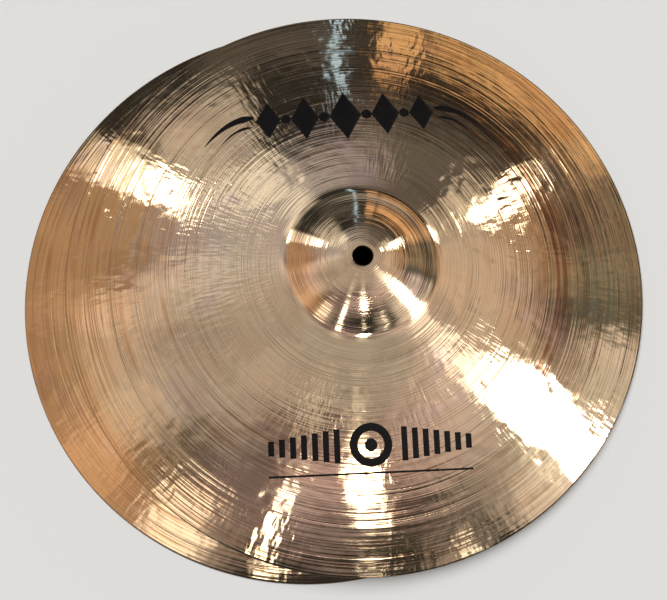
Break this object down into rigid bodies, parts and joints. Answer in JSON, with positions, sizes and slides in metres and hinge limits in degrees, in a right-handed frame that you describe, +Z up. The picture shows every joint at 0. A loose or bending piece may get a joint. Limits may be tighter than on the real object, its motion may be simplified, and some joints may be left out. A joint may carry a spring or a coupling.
{
  "type": "hi-hat cymbal pair",
  "caption": "Nested pair of thin domed bronze cymbals with raised bells and centre rod holes, the heavier one lying shifted and leaning over the lighter one.",
  "frame": {"origin": "middle of the pair's footprint, on the surface that it lies on", "axes": "+X from the lower cymbal's centre towards the upper one's, +Z up, out of the bells"},
  "size_m": [0.4148, 0.381, 0.0416],
  "materials": {
    "bronze_lower": "polished bell bronze with fine lathe grooves and hammer marks",
    "bronze_upper": "polished bell bronze with fine lathe grooves and hammer marks"
  },
  "bodies": {
    "lower": {"lower_cymbal": "bronze_lower"},
    "upper": {"upper_cymbal": "bronze_upper"}
  },
  "joints": [
    {"name": "upper_cymbal_lift", "type": "slide", "parent": "lower", "child": "upper", "axis": [0, 0, 1], "range_m": [0, 0.1]}
  ]
}
